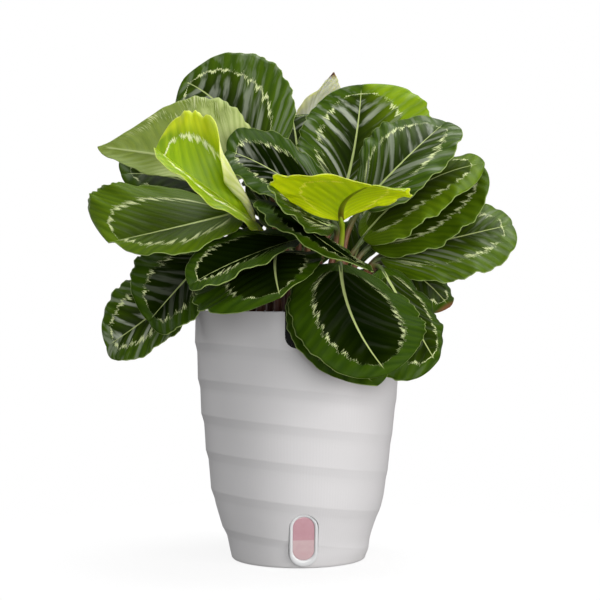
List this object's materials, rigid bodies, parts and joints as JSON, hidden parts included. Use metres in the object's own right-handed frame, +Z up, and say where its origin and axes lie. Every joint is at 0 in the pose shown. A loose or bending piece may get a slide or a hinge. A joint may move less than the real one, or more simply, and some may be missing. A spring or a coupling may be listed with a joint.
{
  "type": "potted calathea",
  "caption": "Round-leaved calathea with ringed leaves, standing in soil in a tapered self-watering pot with a level window.",
  "frame": {"origin": "centre of the pot's flat base, on the surface it stands on", "axes": "+Z up along the pot's axis, -Y to the front, where the level window is"},
  "size_m": [0.3118, 0.2448, 0.3847],
  "materials": {
    "pot_plastic": "satin white",
    "window_frame": "gloss white",
    "window_pane": "clear, pinkish",
    "liner_plastic": "black, lightly grained",
    "soil": "rough",
    "leaf": "satin, with a pale ring",
    "young_leaf": "satin lime green"
  },
  "bodies": {
    "root": {"outer_pot": "pot_plastic", "window_frame": "window_frame", "window_pane": "window_pane", "liner_pot": "liner_plastic", "soil": "soil", "leaf_01": "leaf", "leaf_02": "leaf", "leaf_03": "leaf", "leaf_04": "leaf", "leaf_05": "leaf", "leaf_06": "leaf", "leaf_07": "leaf", "leaf_08": "leaf", "leaf_09": "leaf", "leaf_10": "leaf", "leaf_11": "leaf", "leaf_12": "leaf", "leaf_13": "leaf", "leaf_14": "leaf", "leaf_15": "young_leaf", "leaf_16": "young_leaf", "leaf_17": "leaf", "leaf_18": "leaf", "leaf_19": "leaf", "leaf_20": "leaf", "leaf_21": "leaf", "leaf_22": "leaf", "leaf_23": "leaf", "leaf_24": "leaf", "leaf_25": "leaf", "leaf_26": "leaf", "leaf_27": "leaf", "leaf_28": "leaf", "leaf_29": "leaf", "leaf_30": "leaf", "leaf_31": "leaf", "leaf_32": "leaf", "leaf_33": "leaf", "leaf_34": "leaf"}
  },
  "joints": []
}
